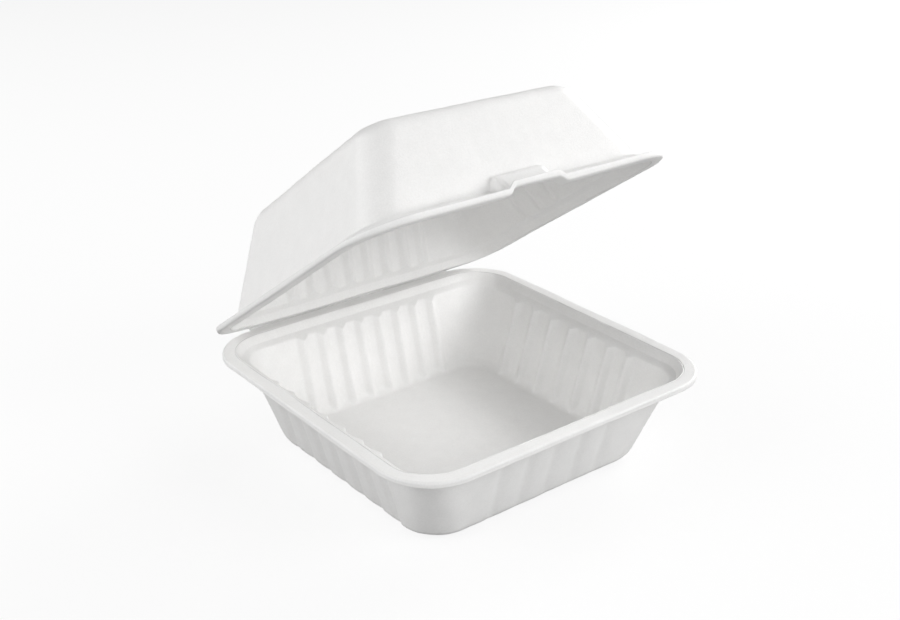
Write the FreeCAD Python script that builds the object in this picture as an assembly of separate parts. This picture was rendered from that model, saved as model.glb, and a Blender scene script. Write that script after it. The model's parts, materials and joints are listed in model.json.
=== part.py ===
import FreeCAD, Part
import math
import os

# Moulded-pulp clamshell meal box: a fluted tray and a deeper-drafted lid, joined by a
# crease along the back. Millimetres, +Z up, +Y towards the hinge, origin under the tray.

# Overall rim, shared by the tray and the lid
rim_width = 152.0
rim_length = 149.0
rim_corner_radius = 23.0
board = 0.8

# Rim section, from the outer edge inwards
lip_height = 2.4
lip_thickness = 1.0
lip_rounding = 0.9
flange_width = 5.6
step_run = 2.4
step_fall = 3.2
shelf_width = 3.0
shelf_fall = 1.4

# Tray walls and floor
tray_depth = 40.0
tray_floor_inset = 20.6
tray_floor_corner_radius = 16.0
tray_floor_fillet = 5.0

# Lid walls and top: steep in front, leaning in more at the sides and the back
lid_depth = 41.5
lid_side_inset = 28.0
lid_front_inset = 16.0
lid_back_inset = 26.0
lid_top_corner_radius = 11.0
lid_top_fillet = 7.0

# Flutes: ridges inside, matching grooves outside
flute_width = 5.4
flute_height = 1.8
flute_crest_radius = 0.9
back_flutes = 8
back_flute_pitch = 9.85
side_flutes = 7
side_flute_pitch = 11.8
front_flutes = 5
front_flute_pitch = 13.4

# Low stiffening ribs inside the lid's side walls, grouped towards the hinge
rib_width = 4.0
rib_height = 1.0
rib_crest_radius = 0.8
side_ribs = 3
rib_spacing = 11.8
rib_offset = 6.0

# Finger notch in the middle of the lid's front rim, and the block pushed out above it
notch_width = 28.0
notch_ramp = 4.0
notch_rise = 2.4
block_height = 9.4
block_face_inset = 3.2
block_face_lean = 5.0
block_top_fall = 1.0
block_cheek_run = 10.0
block_edge_radius = 2.0

# Hinge crease
hinge_length = 108.0
hinge_gap = 0.2
closed_gap = 0.3
opening_angle = 35.0

# Working lengths: how far cutters run on, and how closely edges are matched
overlap = 1.0
match = 0.001


def vec(x, y, z):
    return FreeCAD.Vector(x, y, z)


def even(inset):
    """The same inset at the sides, the front and the back."""
    return (inset, inset, inset)


def rounded_wire(insets, height, radius):
    """Rounded rectangle set in from the rim by (side, front, back) insets, as a closed wire."""
    side, front, back = insets
    centre_x = rim_width / 2 - side - radius
    centre_y = {1: rim_length / 2 - back - radius, -1: front + radius - rim_length / 2}
    diagonal = radius * math.sqrt(0.5)
    edges = []
    signs = ((1, 1), (-1, 1), (-1, -1), (1, -1))
    for index, (sx, sy) in enumerate(signs):
        cx, cy = sx * centre_x, centre_y[sy]
        along_x = vec(cx + sx * radius, cy, height)
        along_y = vec(cx, cy + sy * radius, height)
        middle = vec(cx + sx * diagonal, cy + sy * diagonal, height)
        start, end = (along_x, along_y) if sx == sy else (along_y, along_x)
        edges.append(Part.Arc(start, middle, end).toShape())
        nx, ny = signs[(index + 1) % 4]
        next_cx, next_cy = nx * centre_x, centre_y[ny]
        if nx == ny:
            following = vec(next_cx + nx * radius, next_cy, height)
        else:
            following = vec(next_cx, next_cy + ny * radius, height)
        edges.append(Part.makeLine(end, following))
    return Part.Wire(edges)


def frustum(lower, upper):
    """Solid between two rounded rectangles, each (insets, height, radius): flat sides, round corners."""
    wires = rounded_wire(*lower), rounded_wire(*upper)
    faces = [Part.Face(wire) for wire in wires]
    for below, above in zip(wires[0].Edges, wires[1].Edges):
        if below.Curve.TypeId == "Part::GeomLine":
            a, b = (vertex.Point for vertex in below.Vertexes)
            d, c = (vertex.Point for vertex in above.Vertexes)
            faces.append(Part.Face(Part.makePolygon([a, b, c, d, a])))
        else:
            faces.append(Part.makeRuledSurface(below, above))
    shell = Part.Shell(faces)
    shell.sewShape()
    return Part.makeSolid(shell).removeSplitter()


def offset_line(start, end, distance):
    """Shift a section line to its outer side: down and towards the rim's edge."""
    run, fall = end[0] - start[0], end[1] - start[1]
    length = math.hypot(run, fall)
    shift = (fall / length * distance, -run / length * distance)
    return (start[0] + shift[0], start[1] + shift[1]), (end[0] + shift[0], end[1] + shift[1])


def crossing(first, second):
    (x1, y1), (x2, y2) = first
    (x3, y3), (x4, y4) = second
    cross = (x1 - x2) * (y3 - y4) - (y1 - y2) * (x3 - x4)
    a = x1 * y2 - y1 * x2
    b = x3 * y4 - y3 * x4
    return ((a * (x3 - x4) - (x1 - x2) * b) / cross, (a * (y3 - y4) - (y1 - y2) * b) / cross)


def section(depth, floor_inset):
    """Inner section as (inset, height) points: flange edge, step foot, shelf edge, floor."""
    step_foot = flange_width + step_run
    shelf_edge = step_foot + shelf_width
    return [
        (flange_width, 0.0),
        (step_foot, -step_fall),
        (shelf_edge, -step_fall - shelf_fall),
        (floor_inset, -(depth - board)),
    ]


def outer_section(points, floor_inset):
    """The same section one board thickness further out."""
    level_start, level_end = (0.0, 0.0), points[0]
    floor_end = (floor_inset + flange_width, points[-1][1])
    chain = [level_start, level_end] + points[1:] + [floor_end]
    lines = [offset_line(a, b, board) for a, b in zip(chain, chain[1:])]
    return [crossing(a, b) for a, b in zip(lines, lines[1:])]


def corner_radius(inset, points, floor_radius):
    """Concentric at the rim, then blending to the floor's own radius down the wall."""
    shelf_inset, floor_inset = points[2][0], points[3][0]
    if inset <= shelf_inset:
        return rim_corner_radius - inset
    share = (inset - shelf_inset) / (floor_inset - shelf_inset)
    shelf_radius = rim_corner_radius - shelf_inset
    return shelf_radius + share * (floor_radius - shelf_radius)


def floor_filleted(solid, height, radius):
    edges = [e for e in solid.Edges if all(abs(v.Z - height) < match for v in e.Vertexes)]
    return solid.makeFillet(radius, edges)


def stack(rings, floor_fillet):
    """Frustums between successive rings; the last one has its floor edge rounded."""
    pieces = [frustum(a, b) for a, b in zip(rings, rings[1:])]
    pieces[-1] = floor_filleted(pieces[-1], rings[-1][1], floor_fillet)
    return pieces[0].multiFuse(pieces[1:])


def on_wall(points, height):
    """Inset at a height on a section's wall line, from its shelf edge to its floor."""
    (top_inset, top), (bottom_inset, bottom) = points[2], points[3]
    return top_inset + (bottom_inset - top_inset) * (height - top) / (bottom - top)


def level_rings(sections, floor_radius, reference):
    """Rings through the side, front and back sections, which differ only below the shelf."""
    rings = []
    for index, (inset, height) in enumerate(sections[0]):
        insets = even(inset) if index < 2 else [on_wall(points, height) for points in sections]
        rings.append((insets, height, corner_radius(inset, reference, floor_radius)))
    return rings


def ridge_profile(width, height, crest_radius):
    """Rounded-triangle ridge section in (across, inwards), running on below the wall."""
    half = width / 2
    slope = height / half
    crest = height - crest_radius * (math.hypot(1, slope) - 1)
    tangent_x = crest_radius * slope / math.hypot(1, slope)
    tangent_y = crest - crest_radius + crest_radius / math.hypot(1, slope)
    root = (half + overlap / slope, -overlap)
    return root, (tangent_x, tangent_y), (0.0, crest)


def ridge(width, height, crest_radius, top, bottom):
    """Ridge down the +Y wall at x = 0, from top to bottom, each (inset, height)."""
    root, tangent, crest = ridge_profile(width, height, crest_radius)
    run, fall = bottom[0] - top[0], bottom[1] - top[1]
    length = math.hypot(run, fall)
    along = vec(0, -run / length, fall / length)
    inward = vec(0, fall / length, run / length)
    start = vec(0, rim_length / 2 - top[0], top[1])

    def place(point, side=1):
        return start + vec(side * point[0], 0, 0) + inward * point[1]

    arc = Part.Arc(place(tangent), place(crest), place(tangent, -1)).toShape()
    edges = [
        Part.makeLine(place(root, -1), place(root)),
        Part.makeLine(place(root), place(tangent)),
        arc,
        Part.makeLine(place(tangent, -1), place(root, -1)),
    ]
    return Part.Face(Part.Wire(edges)).extrude(along * length)


def turned(shape, side):
    """Move a feature made on the back wall to another wall."""
    moved = shape.copy()
    if side == "front":
        moved.rotate(vec(0, 0, 0), vec(0, 0, 1), 180)
    if side in ("left", "right"):
        moved.translate(vec(0, (rim_width - rim_length) / 2, 0))
        moved.rotate(vec(0, 0, 0), vec(0, 0, 1), 90 if side == "left" else -90)
    return moved


def row(shape, count, pitch, side, centre=0.0):
    """Evenly spaced copies of a wall feature along one side."""
    copies = []
    for index in range(count):
        copy = shape.copy()
        copy.translate(vec((index - (count - 1) / 2) * pitch + centre, 0, 0))
        copies.append(turned(copy, side))
    return copies


def flute_pair(points, floor_inset):
    """Ridge cutter for the hollow, and the same cutter one board out for its groove."""
    size = (flute_width, flute_height, flute_crest_radius)
    outer_points = outer_section(points, floor_inset)
    return ridge(*size, points[2], points[3]), ridge(*size, outer_points[2], outer_points[3])


def slab(inset, low, high):
    """Upright slab inside the rim's outline, between two heights."""
    wire = rounded_wire(even(inset), low, rim_corner_radius - inset)
    return Part.Face(wire).extrude(vec(0, 0, high - low))


def rim_plate():
    """Flange with its turned-down lip and rounded outer edge."""
    plate = slab(0, -lip_height, 0)
    top_edges = [e for e in plate.Edges if all(abs(v.Z) < match for v in e.Vertexes)]
    plate = plate.makeFillet(lip_rounding, top_edges)
    return plate.cut(slab(lip_thickness, -lip_height - overlap, -board))


def hinge_edge(plate):
    """Along the crease the flange runs out flat, with no lip, to the hinge gap."""
    back = rim_length / 2
    strip_width = lip_thickness + lip_rounding
    corner = vec(-hinge_length / 2, back - strip_width, -lip_height - overlap)
    clearing = Part.makeBox(hinge_length, strip_width + overlap, lip_height + overlap * 2, corner)
    strip_corner = vec(-hinge_length / 2, back - strip_width, -board)
    strip = Part.makeBox(hinge_length, strip_width - hinge_gap / 2, board, strip_corner)
    trimmed = plate.cut(clearing).fuse(strip)
    beyond = Part.makeBox(
        rim_width, overlap, lip_height * 3, vec(-rim_width / 2, back - hinge_gap / 2, -lip_height * 2)
    )
    return trimmed.cut(beyond)


def pulp_body(rim, depth, floor_insets, floor_radius, floor_fillet, inner_cutters, outer_cutters):
    """Moulded solid and its hollow, hanging from a rim whose top face is at height zero."""
    sections = [section(depth, inset) for inset in floor_insets]
    outer_sections = [outer_section(points, inset) for points, inset in zip(sections, floor_insets)]
    mouth_inset = flange_width - step_run * overlap / step_fall
    mouth = (even(mouth_inset), overlap, rim_corner_radius - mouth_inset)
    inner_rings = [mouth] + level_rings(sections, floor_radius, sections[0])[1:]
    outer_rings = level_rings(outer_sections, floor_radius, sections[0])
    hollow = stack(inner_rings, floor_fillet).cut(Part.makeCompound(inner_cutters))
    body = stack(outer_rings, floor_fillet + board).cut(Part.makeCompound(outer_cutters))
    return rim.fuse(body), hollow


def tray():
    points = section(tray_depth, tray_floor_inset)
    inside, outside = flute_pair(points, tray_floor_inset)
    rows = (
        (back_flutes, back_flute_pitch, "back"),
        (side_flutes, side_flute_pitch, "left"),
        (side_flutes, side_flute_pitch, "right"),
        (front_flutes, front_flute_pitch, "front"),
    )
    inner, outer = [], []
    for count, pitch, side in rows:
        inner += row(inside, count, pitch, side)
        outer += row(outside, count, pitch, side)
    solid, hollow = pulp_body(
        hinge_edge(rim_plate()),
        tray_depth,
        even(tray_floor_inset),
        tray_floor_corner_radius,
        tray_floor_fillet,
        inner,
        outer,
    )
    shell = solid.cut(hollow)
    shell.translate(vec(0, 0, tray_depth))
    return shell


def front_point(x, inset, height):
    return vec(x, inset - rim_length / 2, height)


def rim_piece(x, drop, run):
    """Length of the front rim, starting at x and lowered by drop, swept along run."""
    reach = flange_width + step_run
    bend = lip_rounding * (1 - math.sqrt(0.5))
    arc = Part.Arc(
        front_point(x, 0, -lip_rounding - drop),
        front_point(x, bend, -bend - drop),
        front_point(x, lip_rounding, -drop),
    ).toShape()
    corners = [
        front_point(x, lip_rounding, -drop),
        front_point(x, reach, -drop),
        front_point(x, reach, -board - drop),
        front_point(x, lip_thickness, -board - drop),
        front_point(x, lip_thickness, -lip_height - drop),
        front_point(x, 0, -lip_height - drop),
        front_point(x, 0, -lip_rounding - drop),
    ]
    return Part.Face(Part.Wire([arc] + Part.makePolygon(corners).Edges)).extrude(run)


def notched_rim():
    """Lid rim with its front middle lowered into a finger notch, a ramp at each end."""
    half = notch_width / 2
    flat = half - notch_ramp
    reach = flange_width + step_run
    corner = front_point(-half, -overlap, -lip_height - overlap)
    window = Part.makeBox(notch_width, reach + overlap, lip_height + overlap * 2, corner)
    pieces = [
        rim_piece(-half, 0, vec(notch_ramp, 0, -notch_rise)),
        rim_piece(-flat, notch_rise, vec(flat * 2, 0, 0)),
        rim_piece(flat, notch_rise, vec(notch_ramp, 0, notch_rise)),
    ]
    return hinge_edge(rim_plate()).cut(window).fuse(pieces)


def notch_opening():
    """Space under the notch, from the ramps up past the rim's mating face."""
    half = notch_width / 2
    flat = half - notch_ramp
    corners = [
        front_point(-half, -overlap, overlap),
        front_point(-half, -overlap, 0),
        front_point(-flat, -overlap, -notch_rise),
        front_point(flat, -overlap, -notch_rise),
        front_point(half, -overlap, 0),
        front_point(half, -overlap, overlap),
    ]
    face = Part.Face(Part.makePolygon(corners + [corners[0]]))
    return face.extrude(vec(0, flange_width + step_run + overlap * 2, 0))


def front_block(thinning, edge_radius):
    """Block out of the lid's front wall above the notch, its skin thinned on every face."""
    flat = notch_width / 2 - notch_ramp
    reach = block_face_inset + block_cheek_run * 2
    spread = notch_ramp / block_cheek_run
    near_half = flat - thinning * math.hypot(1, spread)
    far_half = near_half + spread * (reach - block_face_inset)
    plan = [
        front_point(-near_half, block_face_inset, 0),
        front_point(near_half, block_face_inset, 0),
        front_point(far_half, reach, 0),
        front_point(-far_half, reach, 0),
    ]
    prism = Part.Face(Part.makePolygon(plan + [plan[0]])).extrude(vec(0, 0, -lid_depth / 2))
    face_foot = (block_face_inset, -notch_rise)
    face_top = (block_face_inset + block_face_lean, -block_height)
    shelf_end = (reach, -block_height - block_top_fall)
    face = offset_line(face_foot, face_top, -thinning)
    shelf = offset_line(face_top, shelf_end, -thinning)
    upright = offset_line((block_face_inset, 0), face_foot, -thinning)
    side = [upright[0], crossing(upright, face), crossing(face, shelf), shelf[1], (shelf[1][0], 0)]
    corners = [front_point(-far_half, inset, height) for inset, height in side]
    slab = Part.Face(Part.makePolygon(corners + [corners[0]])).extrude(vec(far_half * 2, 0, 0))
    block = prism.common(slab)
    brow = crossing(face, shelf)
    edges = []
    for edge in block.Edges:
        ends = [(v.Y + rim_length / 2, v.Z) for v in edge.Vertexes]
        if all(math.dist(end, brow) < match * 10 for end in ends):
            edges.append(edge)
    return block.makeFillet(edge_radius, edges)


def lid():
    inside, outside = flute_pair(section(lid_depth, lid_back_inset), lid_back_inset)
    side_points = section(lid_depth, lid_side_inset)
    rib = ridge(rib_width, rib_height, rib_crest_radius, side_points[2], side_points[3])
    inner = row(inside, back_flutes, back_flute_pitch, "back")
    inner += row(rib, side_ribs, rib_spacing, "left", rib_offset)
    inner += row(rib, side_ribs, rib_spacing, "right", -rib_offset)
    solid, hollow = pulp_body(
        notched_rim(),
        lid_depth,
        (lid_side_inset, lid_front_inset, lid_back_inset),
        lid_top_corner_radius,
        lid_top_fillet,
        inner,
        row(outside, back_flutes, back_flute_pitch, "back"),
    )
    solid = solid.fuse(front_block(0, block_edge_radius)).cut(notch_opening())
    hollow = hollow.fuse(front_block(board, block_edge_radius - board))
    shell = solid.cut(hollow).mirror(vec(0, 0, 0), vec(0, 0, 1))
    shell.translate(vec(0, 0, tray_depth + closed_gap))
    crease = vec(0, rim_length / 2, tray_depth + closed_gap / 2)
    shell.rotate(crease, vec(-1, 0, 0), opening_angle)
    return shell


def export(shape, name):
    shape.exportStep("parts/" + name + ".step")


os.makedirs("parts", exist_ok=True)
export(tray(), "tray")
export(lid(), "lid")
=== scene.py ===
import json
import math
from collections import namedtuple

import bpy
import numpy as np
from mathutils import Matrix, Vector


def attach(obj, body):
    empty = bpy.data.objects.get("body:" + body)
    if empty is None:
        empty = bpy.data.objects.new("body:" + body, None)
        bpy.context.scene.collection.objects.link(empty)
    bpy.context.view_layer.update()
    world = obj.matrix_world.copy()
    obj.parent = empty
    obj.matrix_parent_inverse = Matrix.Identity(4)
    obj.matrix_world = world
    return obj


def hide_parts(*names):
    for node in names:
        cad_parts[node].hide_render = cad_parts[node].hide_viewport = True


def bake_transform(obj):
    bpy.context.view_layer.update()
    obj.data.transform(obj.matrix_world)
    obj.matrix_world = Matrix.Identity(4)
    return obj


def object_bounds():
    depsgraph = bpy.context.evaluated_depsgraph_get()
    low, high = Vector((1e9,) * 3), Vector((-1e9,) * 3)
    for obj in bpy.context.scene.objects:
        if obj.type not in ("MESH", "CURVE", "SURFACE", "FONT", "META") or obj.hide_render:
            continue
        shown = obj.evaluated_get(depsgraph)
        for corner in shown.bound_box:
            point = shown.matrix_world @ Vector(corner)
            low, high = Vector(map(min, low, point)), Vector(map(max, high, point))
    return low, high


# Bagasse meal box: a fluted tray and a lid of moulded pulp, joined by a crease.
#
# Each shell is one grid of points. Its columns stand round the box, and its rows follow the
# section of the wall: from the floor's top face up the wall, round the lip and back beneath.
# Shapes are worked out in millimetres, closed and upright, then set in the row frame.

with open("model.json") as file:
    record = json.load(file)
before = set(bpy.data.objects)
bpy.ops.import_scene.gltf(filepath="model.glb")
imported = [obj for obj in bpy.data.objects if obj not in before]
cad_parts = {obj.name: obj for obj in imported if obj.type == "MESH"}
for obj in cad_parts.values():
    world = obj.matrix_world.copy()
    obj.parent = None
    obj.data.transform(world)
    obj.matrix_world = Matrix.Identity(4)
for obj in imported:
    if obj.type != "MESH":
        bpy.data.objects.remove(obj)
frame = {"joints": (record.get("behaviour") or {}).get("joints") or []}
cad_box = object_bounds()
hinge = frame["joints"][0]
rng = np.random.default_rng(7)

MM = 0.001

# From the frame: the rim's size, the crease line in (y, z), and how far the lid is open
CREASE = (hinge["pos_m"][1] / MM, hinge["pos_m"][2] / MM)
RIM_WIDTH = round((cad_box[1][0] - cad_box[0][0]) / MM, 3)
RIM_LENGTH = 2 * CREASE[0]
OPENING = -hinge["range_deg"][0]

# Hinge: half its length, half the gap between the flanges' edges, and the gap when closed
HINGE_HALF = 54.0
CREASE_GAP = 0.1
CLOSED_GAP = 0.3

# Rim, shared by the tray and the lid
RIM_CORNER = 23.0
BOARD = 0.8
LIP_HEIGHT = 2.4
LIP_THICKNESS = 1.0
LIP_DRAFT = 0.35
FLANGE = 5.6
STEP_RUN = 2.4
STEP_FALL = 3.2
SHELF_WIDTH = 3.0
SHELF_FALL = 1.4

# Bowls: depth, insets of the floor corner (front, right, back, left), corner radius there,
# floor fillet, how far the floor's rows reach in from its corner, and how far along each side
# the columns stay where they are at the rim
TRAY = {
    "depth": CREASE[1] - CLOSED_GAP / 2,
    "insets": (20.6, 20.6, 20.6, 20.6),
    "corner": 16.0,
    "fillet": 5.0,
    "floor_run": 10.0,
    "keep": (39.5, 39.5, 39.5, 39.5),
}
LID = {
    "depth": 41.5,
    "insets": (16.0, 28.0, 26.0, 28.0),
    "corner": 11.0,
    "fillet": 7.0,
    "floor_run": 15.0,
    "keep": (20.0, 24.0, 36.6, 24.0),
}
SMALLEST_CORNER = 1.2
FLOOR_RINGS = (0.9, 0.8, 0.7, 0.6, 0.5, 0.4, 0.3, 0.2, 0.1)

# Flutes and the lid's low ribs: width, height, crest radius. The tray's outer grooves are
# softer than the ridges inside
FLUTE = (5.4, 1.8, 0.9)
OUTER_FLUTES = {"front": (5.4, 0.9, 1.8), "side": (5.4, 1.4, 1.4), "back": (5.4, 1.4, 1.4)}
RIB = (4.0, 1.0, 0.8)
FLUTE_ROWS = {"back": (8, 9.85), "side": (7, 11.8), "front": (5, 13.4)}
RIB_CENTRES = (-6.0, 5.8, 17.6)
CREST_SOFTNESS = 0.45
CREST_LIFT = 0.6
CREST_TAIL = 0.15
NO_RIDGE = 0.01

# Finger notch in the lid's rim. The foot of the step follows a share of its rise
NOTCH_HALF = 14.0
NOTCH_RAMP = 4.0
NOTCH_RISE = 2.4
NOTCH_FOOT_SHARE = 0.6

# Block above the notch: inset of its face, its brow (inset, height), the fall of its top, how
# its cheeks spread, how soft they are at foot, brow and wall, and how far out the inner skin is
BLOCK_FOOT = 3.2
BLOCK_BROW = (8.63, -8.63)
BLOCK_FALL = 1.0 / 15.0
CHEEK_SPREAD = 0.4
CHEEK_SOFTNESS = (0.9, 1.2, 1.3)
CHEEK_SKIN = 0.8 * BOARD

# Columns: the usual step along a side, how close two may stand, how far from a corner they
# may start to shift, the steps round a corner, and the finer spots: a margin beyond each
# ridge with a step, or (centre, reach, step)
COLUMN_STEP = 2.4
COLUMN_CLOSEST = 0.12
COLUMN_CLEAR = 1.0
CORNER_STEPS = 24
RIDGE_MARGIN = 0.35
FLUTE_STEP = 0.47
RIB_STEP = 0.5
NOTCH_SPOTS = ((-12.2, 4.2, 0.22), (12.2, 4.2, 0.22))

# The section's vertices, in order: radius, samples on the arc, samples on the run after it,
# and tone, a painted shade that darkens the pressed lines and the lip's rounded edges. Floor
# corners add their radius to the bowl's fillet. An arc takes at most a share of each line beside
# it
Vertex = namedtuple("Vertex", "name radius arc run tone")
SECTION = (
    Vertex("floor", 0.0, 0, 3, 1.0),
    Vertex("floor corner", 0.0, 8, 12, 1.0),
    Vertex("shelf edge", 1.4, 4, 3, 1.0),
    Vertex("step foot", 1.2, 5, 3, 1.0),
    Vertex("flange edge", 0.3, 3, 1, 1.0),
    Vertex("line", 0.12, 2, 1, 0.72),
    Vertex("line side", 0.2, 2, 3, 1.0),
    Vertex("lip top", 1.1, 6, 2, 0.96),
    Vertex("lip bottom", 0.4, 3, 1, 0.9),
    Vertex("lip back", 0.3, 2, 2, 0.93),
    Vertex("lip root", 0.4, 3, 2, 1.0),
    Vertex("lower line start", 0.15, 1, 1, 1.0),
    Vertex("lower line", 0.12, 2, 1, 0.76),
    Vertex("lower line end", 0.15, 1, 2, 1.0),
    Vertex("lower flange edge", 0.7, 3, 3, 1.0),
    Vertex("lower step foot", 0.8, 4, 3, 1.0),
    Vertex("lower shelf edge", 1.6, 4, 10, 1.0),
    Vertex("lower floor corner", BOARD, 8, 3, 1.0),
    Vertex("lower floor", 0.0, 0, 0, 1.0),
)
CUT_EDGE = ("lip top", "lip bottom", "lip back")
ARC_SHARE = 0.48

# Where a radius becomes another one: on ridges, in grooves, on the block or at the crease
CHANGED_RADII = {
    "floor corner": ("ridge", 1.1),
    "shelf edge": ("ridge", 0.7),
    "step foot": ("block", 2.4),
    "lip top": ("crease", 0.2),
    "lip bottom": ("crease", 0.15),
    "lip back": ("crease", 0.15),
    "lip root": ("crease", 0.1),
    "lower step foot": ("block", 1.6),
    "lower floor corner": ("groove", 1.8),
}

# Fine pressed lines, as shares of the flange's inset and heights from its face
UPPER_LINE = ((1 - 0.28 / FLANGE, -0.26), (1 - 0.6 / FLANGE, 0.0))
LOWER_LINE = ((0.5, 0.0), (0.555, 0.2), (0.61, 0.0))

# At the crease: the lip's extra thickness, the ends where it runs out into the plain lip, and
# the dashes of painted crack shadow on the cut edge, with their lengths and tone
CREASE_TIP = 0.4
CREASE_END = 0.6
CREASE_FADE = 1.6
CREASE_MARGIN = 2.0
DASH_LENGTHS = (5, 16)
DASH_START = 0.2
DASH_SHADE = 0.62

# Waviness of dried pulp: wave lengths and height
BROAD_WAVES = ((20, 70), 0.10)
FINE_WAVES = ((5, 14), 0.03)

# Folded skin over the crease: how far it wraps the line to each side, what it stays clear of
# the rims' ends and of the solids by, its samples, and its thinner, wavy ends
SKIN_REACH = 98
SKIN_END = 0.8
SKIN_CLEAR = 0.02
SKIN_COLUMNS = 220
SKIN_STEPS = 9
SKIN_TAPER = 1.5
SKIN_THIN = 0.65
SKIN_WAVES = ((3, 15), 0.04)
# Tone of the skin, painted shade: a little darker in the fold
SKIN_SHADE = 0.9

# Studio, in metres and watts: lamps as (azimuth, elevation, energy)
LAMPS = {
    "back_left": (-150, 25, 3.5),
    "left": (-105, 25, 7.6),
    "front_left": (-38, 25, 2.6),
    "low_front": (-10, 6, 1.8),
    "front": (30, 25, 8.6),
    "right": (97, 25, 11.0),
}
LAMP_SIZE = 0.7
LAMP_DISTANCE = 1.2
LAMP_TARGET = (0, 0, 0.06)
FLOOR_HALF = 3.0
FLOOR_CLEAR = 0.0002
WHITE_SHARE = 0.85
AMBIENT = 0.1

# Camera: azimuth, elevation and roll in degrees, and the lens for a 36 mm sensor
CAMERA_ANGLES = (-38.32, 24.3, 0.17)
CAMERA_TARGET = (0.02677, 0.03826, TRAY["depth"] * MM)
CAMERA_DISTANCE = 0.56358
SENSOR = 36
LENS = 51.096


def flute_centres(key):
    count, pitch = FLUTE_ROWS[key]
    return [(index - (count - 1) / 2) * pitch for index in range(count)]


def ridge_spots(centres, size, step):
    """Finer columns over each ridge."""
    return [(centre, size[0] / 2 + RIDGE_MARGIN, step) for centre in centres]


def stops(half, spots):
    """Positions along one straight side, closer together at the finer spots."""
    values = list(np.linspace(-half, half, 2 * int(half / COLUMN_STEP) + 1))
    for centre, reach, step in spots:
        count = int(round(2 * reach / step))
        low, high = centre - reach, centre + reach
        values = [
            v for v in values if v < low - step / 2 or v > high + step / 2 or abs(v) == half
        ]
        values += list(np.linspace(low, high, count + 1))
    values = sorted(v for v in values if abs(v) <= half)
    kept = [values[0]]
    for value in values[1:]:
        if value - kept[-1] > COLUMN_CLOSEST:
            kept.append(value)
    kept[-1] = half
    return np.array(kept)


class Outline:
    """Columns round the box: each straight side with the corner after it, from the front."""

    SIDES = ("front", "right", "back", "left")

    def __init__(self, bowl, spots):
        self.bowl = bowl
        along, side, turn = [], [], []
        for index, name in enumerate(self.SIDES):
            half = (RIM_WIDTH if index % 2 == 0 else RIM_LENGTH) / 2 - RIM_CORNER
            straight = stops(half, spots.get(name, ()))
            corner = np.linspace(0, math.pi / 2, CORNER_STEPS + 1)[1:-1]
            along += [*straight, *(half for _ in corner)]
            side += [index] * (len(straight) + len(corner))
            turn += [*(0.0 for _ in straight), *corner]
        self.along = np.array(along)
        self.side = np.array(side)
        self.turn = np.array(turn)
        zero = np.zeros(len(along))
        self.rim = self.place(zero, zero, zero, zero + RIM_CORNER)

    def place(self, inset, before, after, radius):
        """(x, y) of each column, from its own inset and those of the sides before and after."""
        even = self.side % 2 == 0
        half = np.where(even, RIM_WIDTH, RIM_LENGTH) / 2
        across = np.where(even, RIM_LENGTH, RIM_WIDTH) / 2
        size = np.abs(self.along)
        end = half - np.where(self.along > 0, after, before) - radius
        keep = np.minimum(np.array(self.bowl["keep"])[self.side], end - COLUMN_CLEAR)
        share = (size - keep) / (half - RIM_CORNER - keep)
        moved = np.where(size > keep, keep + share * (end - keep), size)
        a = np.sign(self.along) * moved + np.sin(self.turn) * radius
        b = -(across - inset - radius) - np.cos(self.turn) * radius
        angle = self.side * math.pi / 2
        cos, sin = np.round(np.cos(angle)), np.round(np.sin(angle))
        return np.column_stack([a * cos - b * sin, a * sin + b * cos])

    def on(self, name):
        """Which columns stand on a straight side."""
        return (self.side == self.SIDES.index(name)) & (self.turn == 0)

    def beside_crease(self, beyond):
        """Which columns stand along the crease, or up to so far beyond its ends."""
        x, y = self.rim.T
        return (y > RIM_LENGTH / 4) & (np.abs(x) < HINGE_HALF + beyond)


def smooth(value):
    value = np.clip(value, 0, 1)
    return value * value * (3 - 2 * value)


def crest(distance, size):
    """Height of a rounded-triangle ridge at a distance from its centre line."""
    width, height, radius = size
    soft = radius * CREST_SOFTNESS
    straight = height - np.sqrt(distance**2 + soft**2) * height / (width / 2) + soft * CREST_LIFT
    tail = CREST_TAIL * np.exp((straight - CREST_TAIL) / CREST_TAIL)
    return np.where(straight > CREST_TAIL, straight, tail) * (distance < width)


def ridges(outline, name, centres, size):
    """Height of one side's ridges at each column."""
    height = np.zeros(len(outline.along))
    on = outline.on(name)
    for centre in centres:
        height[on] = np.maximum(height[on], crest(np.abs(outline.along[on] - centre), size))
    height[height < NO_RIDGE] = 0
    return height


def lines_cross(a, b, c, d):
    """Crossing of lines a-b and c-d, for arrays of points."""
    r, s = b - a, d - c
    cross = r[:, 0] * s[:, 1] - r[:, 1] * s[:, 0]
    gap = c - a
    t = (gap[:, 0] * s[:, 1] - gap[:, 1] * s[:, 0]) / cross
    return a + r * t[:, None]


def shifted(a, b, distance):
    """How far section lines a-b move, square to themselves, inwards and up if positive."""
    run = b - a
    run /= np.linalg.norm(run, axis=1)[:, None]
    return np.column_stack([-run[:, 1], run[:, 0]]) * np.reshape(distance, (-1, 1))


def with_wall(points, height):
    """Section with its wall line, from the shelf to the floor, moved inwards by the ridges."""
    flange, foot, shelf, floor = points
    shift = shifted(shelf, floor, height)
    level = floor + np.array([1.0, 0.0])
    top = lines_cross(foot, shelf, shelf + shift, floor + shift)
    bottom = lines_cross(shelf + shift, floor + shift, floor, level)
    return [flange, foot, top, bottom]


def thickened(points):
    """The section's underside, one board below."""
    flange, foot, shelf, floor = points
    outwards = flange - np.array([1.0, 0.0])
    inwards = floor + np.array([1.0, 0.0])
    chain = [outwards, flange, foot, shelf, floor, inwards]
    shifts = [shifted(a, b, -BOARD) for a, b in zip(chain, chain[1:])]
    under = []
    for a, b, c, first, second in zip(chain, chain[1:], chain[2:], shifts, shifts[1:]):
        under.append(lines_cross(a + first, b + first, b + second, c + second))
    return under


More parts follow.
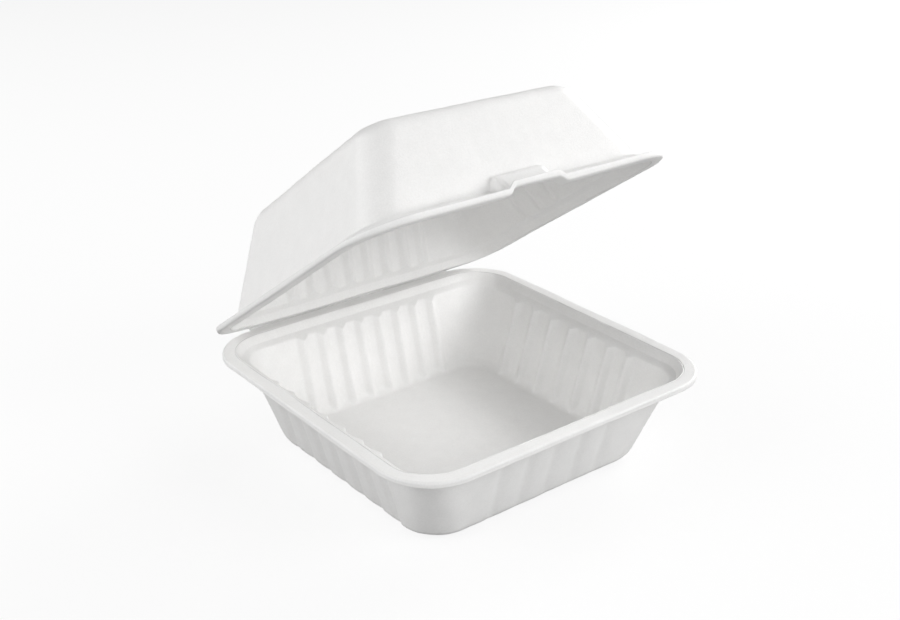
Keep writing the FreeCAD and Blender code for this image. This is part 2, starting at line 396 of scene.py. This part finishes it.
def rounded(points, radii):
    """The section's polyline with its vertices rounded, sampled alike for every column."""
    result = [points[0]]
    last = points[0]
    for index in range(1, len(points) - 1):
        before, here, after = points[index - 1], points[index], points[index + 1]
        back, ahead = before - here, after - here
        back_length = np.linalg.norm(back, axis=1)
        ahead_length = np.linalg.norm(ahead, axis=1)
        back = back / np.maximum(back_length, 1e-6)[:, None]
        ahead = ahead / np.maximum(ahead_length, 1e-6)[:, None]
        half = np.arccos(np.clip((back * ahead).sum(1), -1, 1)) / 2
        reach = radii[index] / np.maximum(np.tan(half), 1e-3)
        reach = np.minimum(reach, ARC_SHARE * np.minimum(back_length, ahead_length))[:, None]
        start, end = here + back * reach, here + ahead * reach
        result += straight_samples(last, start, SECTION[index - 1].run)
        result += arc_samples(start, here, end, np.sin(half)[:, None], SECTION[index].arc)
        last = end
    return result + straight_samples(last, points[-1], SECTION[-2].run)


def straight_samples(start, end, count):
    return [start + (end - start) * (step / count) for step in range(1, count + 1)]


def arc_samples(start, vertex, end, weight, count):
    """Samples on the circular arc that rounds a vertex, as a weighted quadratic curve."""
    result = []
    for step in range(1, count + 1):
        s = step / count
        shares = ((1 - s) ** 2, 2 * s * (1 - s) * weight, s**2)
        total = shares[0] + shares[1] + shares[2]
        result.append((start * shares[0] + vertex * shares[1] + end * shares[2]) / total)
    return result


def corner_radius(inset, bowl):
    """Corner radius at an inset of the right side: concentric at the rim and on the floor."""
    shelf = FLANGE + STEP_RUN + SHELF_WIDTH
    foot = bowl["insets"][1]
    start = RIM_CORNER - shelf
    share = (inset - shelf) / (foot - shelf)
    wall = start + share * (bowl["corner"] - start)
    floor = bowl["corner"] - (inset - foot)
    radius = np.where(inset <= shelf, RIM_CORNER - inset, np.where(share < 1, wall, floor))
    return np.maximum(radius, SMALLEST_CORNER)


def pairs(count, inset, height):
    """(inset, height) for each column."""
    columns = [np.broadcast_to(value, count) for value in (inset, height)]
    return np.column_stack(columns).astype(float)


def base_section(bowl, insets):
    """Flange edge, step foot, shelf edge and floor corner, for columns with these insets."""
    count = len(insets)
    foot_inset = FLANGE + STEP_RUN
    return [
        pairs(count, FLANGE, 0),
        pairs(count, foot_inset, -STEP_FALL),
        pairs(count, foot_inset + SHELF_WIDTH, -STEP_FALL - SHELF_FALL),
        pairs(count, insets, BOARD - bowl["depth"]),
    ]


def notched(section, x):
    """The section moved out into the block over the notch, how far the rim is cut at each
    column, and how much of the block is there, for columns at x along the front."""
    flat = NOTCH_HALF - NOTCH_RAMP
    drop = NOTCH_RISE * smooth((NOTCH_HALF - x) / NOTCH_RAMP)
    brow = pairs(len(x), *BLOCK_BROW)
    hit = lines_cross(brow, brow + np.array([1.0, -BLOCK_FALL]), section[2], section[3])
    shares = []
    for inset, soft in zip((BLOCK_FOOT, BLOCK_BROW[0], hit[0, 0]), CHEEK_SOFTNESS):
        half = flat + CHEEK_SPREAD * (inset - BLOCK_FOOT)
        shares.append(smooth((half + soft - x) / (2 * soft))[:, None])
    near, middle, far = shares
    edge = section[0] - np.column_stack([near[:, 0] * (FLANGE - BLOCK_FOOT - BOARD), drop])
    foot = section[1] - np.column_stack([x * 0, drop * NOTCH_FOOT_SHARE])
    foot = foot * (1 - middle) + brow * middle
    shelf = section[2] * (1 - far) + hit * far
    return [edge, foot, shelf, section[3]], drop, middle[:, 0]


def pressed_line(flange, line):
    return [flange * (share, 1) + (0, height) for share, height in line]


def samples(bowl, insets, inner_height, outer_height, flat_hinge, notch_x=None):
    """Section samples (rows, columns, 2), from the floor's top face round to its underside."""
    count = len(insets)
    inside = outside = base_section(bowl, insets)
    drop, block = np.zeros(count), np.zeros(count)
    if notch_x is not None:
        inside = notched(inside, notch_x + CHEEK_SKIN)[0]
        outside, drop, block = notched(outside, notch_x)
    inner = with_wall(inside, inner_height)
    outer = thickened(with_wall(outside, outer_height))
    lip_low = -(LIP_HEIGHT * (1 - flat_hinge) + BOARD * flat_hinge) - drop
    edge = CREASE_GAP * flat_hinge
    tip = LIP_THICKNESS + CREASE_TIP * flat_hinge
    floor_inset = insets + bowl["floor_run"]
    points = [
        pairs(count, floor_inset, BOARD - bowl["depth"]),
        *inner[::-1],
        *pressed_line(inner[0], UPPER_LINE),
        pairs(count, edge, -drop),
        pairs(count, edge, lip_low),
        pairs(count, tip - LIP_DRAFT, lip_low),
        pairs(count, tip, -BOARD - drop),
        *pressed_line(outer[0], LOWER_LINE),
        *outer,
        pairs(count, floor_inset, -bowl["depth"]),
    ]
    amounts = {
        "ridge": inner_height / FLUTE[1],
        "groove": outer_height / FLUTE[1],
        "block": block,
        "crease": flat_hinge,
        "nothing": 0.0,
    }
    radii = []
    for vertex in SECTION:
        radius = vertex.radius + (bowl["fillet"] if "floor corner" in vertex.name else 0)
        cause, changed = CHANGED_RADII.get(vertex.name, ("nothing", radius))
        radii.append(blended(radius, changed, amounts[cause]))
    return np.stack(rounded(points, radii))


def blended(first, second, share):
    return first * (1 - share) + second * share


def shell(outline, inner_height, outer_height, notch=False):
    """Grid of points, section samples by columns, for one shell hanging from its rim."""
    bowl = outline.bowl
    side_insets = np.array(bowl["insets"])
    insets = side_insets[outline.side]
    zero = np.zeros(len(insets))
    reach = np.abs(outline.rim[:, 0])
    near_crease = smooth((HINGE_HALF + CREASE_END - reach) / CREASE_FADE)
    flat_hinge = np.where(outline.beside_crease(CREASE_MARGIN), near_crease, 0)
    notch_x = np.where(outline.on("front"), np.abs(outline.along), RIM_WIDTH) if notch else None
    full = samples(bowl, insets, inner_height, outer_height, flat_hinge, notch_x)
    plain = samples(bowl, insets, zero, zero, zero)
    change = full - plain

    # Each corner runs from its own side's section to the next side's
    none = np.zeros(len(side_insets))
    ends = samples(bowl, side_insets, none, none, none)
    before = ends[:, (outline.side - 1) % len(side_insets)]
    after = ends[:, (outline.side + 1) % len(side_insets)]
    corner = outline.turn > 0
    share = outline.turn / (math.pi / 2)
    rows = []
    for own, moved, previous, following, sides in zip(full, change, before, after, ends):
        right_inset = np.maximum(sides[1][0], 0)
        radius = np.broadcast_to(corner_radius(right_inset, bowl), len(insets))
        following_inset = following[:, 0] + np.where(corner, moved[:, 0], 0)
        xy = outline.place(own[:, 0], previous[:, 0], following_inset, radius)
        mixed = blended(own[:, 1] - moved[:, 1], following[:, 1], share) + moved[:, 1]
        rows.append(np.column_stack([xy, np.where(corner, mixed, own[:, 1])]))
    grid = np.stack(rows)
    inside = [grid[0] * (factor, factor, 1) for factor in FLOOR_RINGS[::-1]]
    below = [grid[-1] * (factor, factor, 1) for factor in FLOOR_RINGS]
    return np.concatenate([np.stack(inside), grid, np.stack(below)])


def row_tones(outline):
    """Tone of each grid point, painted shade: darker in the pressed lines, round the lip and in
    the crease's dashes.
    """
    tones, cut = [SECTION[0].tone], [False]
    for vertex in SECTION:
        tones += [vertex.tone] * vertex.arc + [1.0] * vertex.run
        cut += [vertex.name in CUT_EDGE] * (vertex.arc + vertex.run)
    tones = np.repeat(np.array(tones)[:, None], len(outline.along), axis=1)
    cut = np.array(cut)
    # Dashes of painted crack shadow along the lip beside the crease
    dash = waves(along_x(outline.rim[:, 0]), DASH_LENGTHS, 1.0)
    dash_shade = blended(1, DASH_SHADE, smooth(dash - DASH_START))
    tones[cut] = np.where(outline.beside_crease(0), dash_shade, tones[cut])
    plain = np.ones((len(FLOOR_RINGS), len(outline.along)))
    return np.concatenate([plain, tones, plain])


def along_x(x):
    return np.column_stack([x, x * 0, x * 0])


def waves(points, lengths, amplitude, count=18):
    """Smooth random unevenness from a sum of seeded plane waves."""
    total = np.zeros(points.shape[:-1])
    for _ in range(count):
        direction = rng.normal(size=3)
        direction /= np.linalg.norm(direction)
        length = rng.uniform(*lengths)
        phase = rng.uniform(0, 2 * math.pi)
        total += np.sin(points @ direction * (2 * math.pi / length) + phase)
    return total * amplitude / math.sqrt(count / 2)


def uneven(grid, low):
    """Slight waviness of dried pulp, across the wall, and held inside the moulded size."""
    run = np.gradient(grid, axis=0)
    across = np.roll(grid, -1, axis=1) - np.roll(grid, 1, axis=1)
    normal = np.cross(run, across)
    normal /= np.maximum(np.linalg.norm(normal, axis=-1), 1e-9)[..., None]
    fine = waves(grid, *FINE_WAVES)
    rings = len(FLOOR_RINGS)
    fine[:rings] = fine[-rings:] = 0
    amount = waves(grid, *BROAD_WAVES) + fine
    moved = grid + normal * amount[..., None]
    moved[..., 0] = np.clip(moved[..., 0], -RIM_WIDTH / 2, RIM_WIDTH / 2)
    moved[..., 1] = np.clip(moved[..., 1], -RIM_LENGTH / 2, RIM_LENGTH / 2 - CREASE_GAP)
    moved[..., 2] = np.maximum(moved[..., 2], low)
    return moved


def opened(points):
    """From closed to the rest pose: turned about the crease by the opening angle."""
    angle = math.radians(OPENING)
    y, z = points[..., 1] - CREASE[0], points[..., 2] - CREASE[1]
    turned = points.copy()
    turned[..., 1] = CREASE[0] + y * math.cos(angle) + z * math.sin(angle)
    turned[..., 2] = CREASE[1] - y * math.sin(angle) + z * math.cos(angle)
    return turned


def held(points):
    """Points kept inside the box of the solids."""
    low, high = (np.array(corner) / MM for corner in cad_box)
    return np.clip(points, low, high)


def make_piece(name, points, faces, tones, mirrored=False):
    """New smooth object from points in millimetres, with the tone of each point, which carries
    painted shade.
    """
    mesh = bpy.data.meshes.new(name)
    mesh.from_pydata((points * MM).tolist(), [], faces)
    if mirrored:
        mesh.flip_normals()
    mesh.shade_smooth()
    mesh.update()
    painted_shade = mesh.attributes.new("tone", "FLOAT", "POINT")
    painted_shade.data.foreach_set("value", tones)
    piece = bpy.data.objects.new(name, mesh)
    bpy.context.scene.collection.objects.link(piece)
    return piece


def grid_piece(name, grid, tones, mirrored=False):
    """Closed shell from a grid of rings, each end closed round a point in its middle."""
    rings, count = grid.shape[:2]
    points = np.vstack([grid.reshape(-1, 3), grid[0].mean(0), grid[-1].mean(0)])
    index = np.arange(rings * count).reshape(rings, count)
    ahead = np.roll(index, -1, axis=1)
    quads = np.stack([index[:-1], index[1:], ahead[1:], ahead[:-1]], axis=-1).reshape(-1, 4)
    top = np.stack([index[0], ahead[0], np.full(count, rings * count)], axis=-1)
    below = np.stack([ahead[-1], index[-1], np.full(count, rings * count + 1)], axis=-1)
    faces = quads.tolist() + top.tolist() + below.tolist()
    return make_piece(name, points, faces, np.append(tones.ravel(), (1.0, 1.0)), mirrored)


def make_tray():
    sides = {"front": "front", "right": "side", "back": "back", "left": "side"}
    centres = {name: flute_centres(row) for name, row in sides.items()}
    spots = {name: ridge_spots(centres[name], FLUTE, FLUTE_STEP) for name in sides}
    outline = Outline(TRAY, spots)
    inner = sum(ridges(outline, name, centres[name], FLUTE) for name in sides)
    outer = sum(ridges(outline, name, centres[name], OUTER_FLUTES[sides[name]]) for name in sides)
    grid = uneven(shell(outline, inner, outer), -TRAY["depth"])
    grid[..., 2] = np.minimum(grid[..., 2] + TRAY["depth"], TRAY["depth"])
    return grid_piece("tray_pulp", grid, row_tones(outline))


def make_lid():
    flutes = flute_centres("back")
    ribs = {"right": RIB_CENTRES, "left": [-centre for centre in RIB_CENTRES]}
    spots = {name: ridge_spots(centres, RIB, RIB_STEP) for name, centres in ribs.items()}
    spots["back"] = ridge_spots(flutes, FLUTE, FLUTE_STEP)
    spots["front"] = NOTCH_SPOTS
    outline = Outline(LID, spots)
    outer = ridges(outline, "back", flutes, FLUTE)
    inner = outer + sum(ridges(outline, name, ribs[name], RIB) for name in ribs)
    grid = uneven(shell(outline, inner, outer, notch=True), -LID["depth"])
    grid[..., 2] = TRAY["depth"] + CLOSED_GAP - grid[..., 2]
    return grid_piece("lid_pulp", held(opened(grid)), row_tones(outline), mirrored=True)


def make_crease():
    """Folded strip of pulp that wraps the crease line, between the two rims."""
    inner = CLOSED_GAP / 2
    outer = inner + BOARD - SKIN_CLEAR
    angles = np.radians(np.linspace(-SKIN_REACH, SKIN_REACH - OPENING, SKIN_STEPS))
    half = HINGE_HALF - SKIN_END
    length = np.linspace(-half, half, SKIN_COLUMNS)
    wobble = waves(along_x(length), *SKIN_WAVES)
    points = []
    for x, shift in zip(length, wobble):
        thin = blended(SKIN_THIN, 1, smooth((half - abs(x)) / SKIN_TAPER))
        radius = min(outer * thin + shift, outer)
        ring = [(radius, a) for a in angles] + [(inner, a) for a in angles[::-1]]
        points += [(x, CREASE[0] + r * math.cos(a), CREASE[1] + r * math.sin(a)) for r, a in ring]
    count = 2 * SKIN_STEPS
    last = len(points) - count
    faces = []
    for start in range(0, last, count):
        for k in range(count):
            a, b = start + k, start + (k + 1) % count
            faces.append((a, b, b + count, a + count))
    faces += [tuple(range(count))[::-1], tuple(range(last, last + count))]
    return make_piece("crease", np.array(points), faces, np.full(len(points), SKIN_SHADE))


def link(tree, source, output, target, socket):
    tree.links.new(source.outputs[output], target.inputs[socket])


def node_tree(block):
    block.use_nodes = True
    return block.node_tree


def noise(tree, coordinates, scale, detail, rough, distortion=0.0):
    node = tree.nodes.new("ShaderNodeTexNoise")
    values = {"Scale": scale, "Detail": detail, "Roughness": rough, "Distortion": distortion}
    for socket, value in values.items():
        node.inputs[socket].default_value = value
    link(tree, coordinates, "Object", node, "Vector")
    return node


def ramp(tree, source, low, high):
    """A noise's middle range spread from low to high."""
    node = tree.nodes.new("ShaderNodeMapRange")
    values = {"From Min": 0.3, "From Max": 0.7, "To Min": low, "To Max": high}
    for socket, value in values.items():
        node.inputs[socket].default_value = value
    link(tree, source, "Fac", node, "Value")
    return node


def product(tree, first, second):
    """Product of two (node, output) pairs, as one more such pair."""
    node = tree.nodes.new("ShaderNodeMath")
    node.operation = "MULTIPLY"
    link(tree, *first, node, 0)
    link(tree, *second, node, 1)
    return node, "Value"


def bump(tree, source, strength, distance):
    node = tree.nodes.new("ShaderNodeBump")
    node.inputs["Strength"].default_value = strength
    node.inputs["Distance"].default_value = distance
    link(tree, source, "Fac", node, "Height")
    return node


def pulp_material():
    """Off-white pulp: faint clouds, grain and fibres in its tone, painted shade from the points'
    tone, grain and fibres in relief.
    """
    material = bpy.data.materials.new("pulp")
    tree = node_tree(material)
    shader = tree.nodes["Principled BSDF"]
    coordinates = tree.nodes.new("ShaderNodeTexCoord")
    clouds = noise(tree, coordinates, 160, 3, 0.55)
    grain = noise(tree, coordinates, 1500, 4, 0.6, 0.6)
    fibres = noise(tree, coordinates, 620, 3, 0.6, 2.2)
    # The tone attribute multiplies in painted shade: pressed lines, lip edges, crease dashes and
    # the crease skin
    painted_shade = tree.nodes.new("ShaderNodeAttribute")
    painted_shade.attribute_name = "tone"
    tone = (ramp(tree, clouds, 0.985, 1.01), "Result")
    tone = product(tree, tone, (ramp(tree, grain, 0.965, 1.02), "Result"))
    tone = product(tree, tone, (ramp(tree, fibres, 0.985, 1.008), "Result"))
    tone = product(tree, tone, (painted_shade, "Fac"))
    colour = tree.nodes.new("ShaderNodeVectorMath")
    colour.operation = "SCALE"
    colour.inputs[0].default_value = (0.87, 0.866, 0.858)
    link(tree, *tone, colour, "Scale")
    link(tree, colour, "Vector", shader, "Base Color")
    link(tree, ramp(tree, grain, 0.42, 0.56), "Result", shader, "Roughness")
    shader.inputs["Specular IOR Level"].default_value = 0.5
    grain_relief = bump(tree, grain, 0.5, 0.00006)
    relief = bump(tree, fibres, 0.45, 0.00015)
    link(tree, grain_relief, "Normal", relief, "Normal")
    link(tree, relief, "Normal", shader, "Normal")
    return material


def floor_material():
    """White to the camera, apart from the box's shadow, and greyer in the light it throws."""
    material = bpy.data.materials.new("floor_white")
    tree = node_tree(material)
    shader = tree.nodes["Principled BSDF"]
    shader.inputs["Roughness"].default_value = 0.9
    shader.inputs["Specular IOR Level"].default_value = 0.0
    white = tree.nodes.new("ShaderNodeEmission")
    white.inputs["Color"].default_value = (1, 1, 1, 1)
    white.inputs["Strength"].default_value = 1.0
    path = tree.nodes.new("ShaderNodeLightPath")
    share = tree.nodes.new("ShaderNodeMath")
    share.operation = "MULTIPLY"
    share.inputs[1].default_value = WHITE_SHARE
    link(tree, path, "Is Camera Ray", share, 0)
    tone = tree.nodes.new("ShaderNodeMix")
    tone.data_type = "RGBA"
    tone.inputs["A"].default_value = (0.4, 0.4, 0.4, 1)
    tone.inputs["B"].default_value = (0.9, 0.9, 0.9, 1)
    link(tree, path, "Is Camera Ray", tone, "Factor")
    link(tree, tone, "Result", shader, "Base Color")
    mix = tree.nodes.new("ShaderNodeMixShader")
    link(tree, share, "Value", mix, 0)
    link(tree, shader, "BSDF", mix, 1)
    link(tree, white, "Emission", mix, 2)
    link(tree, mix, "Shader", tree.nodes["Material Output"], "Surface")
    return material


def make_floor():
    half = FLOOR_HALF
    mesh = bpy.data.meshes.new("floor")
    corners = [(-half, -half, 0), (half, -half, 0), (half, half, 0), (-half, half, 0)]
    mesh.from_pydata(corners, [], [(0, 1, 2, 3)])
    mesh.materials.append(floor_material())
    floor = bpy.data.objects.new("floor", mesh)
    floor.location.z = -FLOOR_CLEAR
    bpy.context.scene.collection.objects.link(floor)


def outwards(azimuth, elevation):
    """Direction from the box to a lamp or the camera; azimuth 0 is the front."""
    a, e = math.radians(azimuth), math.radians(elevation)
    return Vector((math.sin(a) * math.cos(e), -math.cos(a) * math.cos(e), math.sin(e)))


def area_light(name, azimuth, elevation, energy):
    """Soft square lamp aimed at the middle of the box."""
    lamp = bpy.data.lights.new(name, "AREA")
    lamp.shape = "SQUARE"
    lamp.size = LAMP_SIZE
    lamp.energy = energy
    back = outwards(azimuth, elevation)
    light = bpy.data.objects.new(name, lamp)
    light.location = Vector(LAMP_TARGET) + back * LAMP_DISTANCE
    light.rotation_euler = back.to_track_quat("Z", "Y").to_euler()
    bpy.context.scene.collection.objects.link(light)


def make_camera():
    azimuth, elevation, roll = CAMERA_ANGLES
    back = outwards(azimuth, elevation)
    level = Vector((math.cos(math.radians(azimuth)), math.sin(math.radians(azimuth)), 0))
    upright = back.cross(level)
    cos, sin = math.cos(math.radians(roll)), math.sin(math.radians(roll))
    right = level * cos + upright * sin
    up = upright * cos - level * sin
    data = bpy.data.cameras.new("camera")
    data.sensor_width = SENSOR
    data.lens = LENS
    data.clip_start = 0.01
    camera = bpy.data.objects.new("camera", data)
    rotation = Matrix((right, up, back)).transposed().to_4x4()
    place = Vector(CAMERA_TARGET) + back * CAMERA_DISTANCE
    camera.matrix_world = Matrix.Translation(place) @ rotation
    bpy.context.scene.collection.objects.link(camera)
    bpy.context.scene.camera = camera


def background(tree, strength):
    node = tree.nodes.new("ShaderNodeBackground")
    node.inputs["Color"].default_value = (1, 1, 1, 1)
    node.inputs["Strength"].default_value = strength
    return node


def make_world():
    """White where the camera looks past the floor, and faint light from all round."""
    world = bpy.data.worlds.new("studio")
    bpy.context.scene.world = world
    tree = node_tree(world)
    tree.nodes.clear()
    path = tree.nodes.new("ShaderNodeLightPath")
    mix = tree.nodes.new("ShaderNodeMixShader")
    link(tree, path, "Is Camera Ray", mix, 0)
    link(tree, background(tree, AMBIENT), 0, mix, 1)
    link(tree, background(tree, 1.0), 0, mix, 2)
    link(tree, mix, 0, tree.nodes.new("ShaderNodeOutputWorld"), 0)


pulp = pulp_material()
tray_piece = make_tray()
lid_piece = make_lid()
crease_piece = make_crease()
for piece in (tray_piece, lid_piece, crease_piece):
    piece.data.materials.append(pulp)
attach(tray_piece, "tray")
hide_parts("tray")
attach(lid_piece, "lid")
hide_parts("lid")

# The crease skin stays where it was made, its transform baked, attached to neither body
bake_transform(crease_piece)

make_floor()
for name, (azimuth, elevation, energy) in LAMPS.items():
    area_light(name, azimuth, elevation, energy)
make_camera()
make_world()
bpy.context.scene.view_settings.view_transform = "Standard"
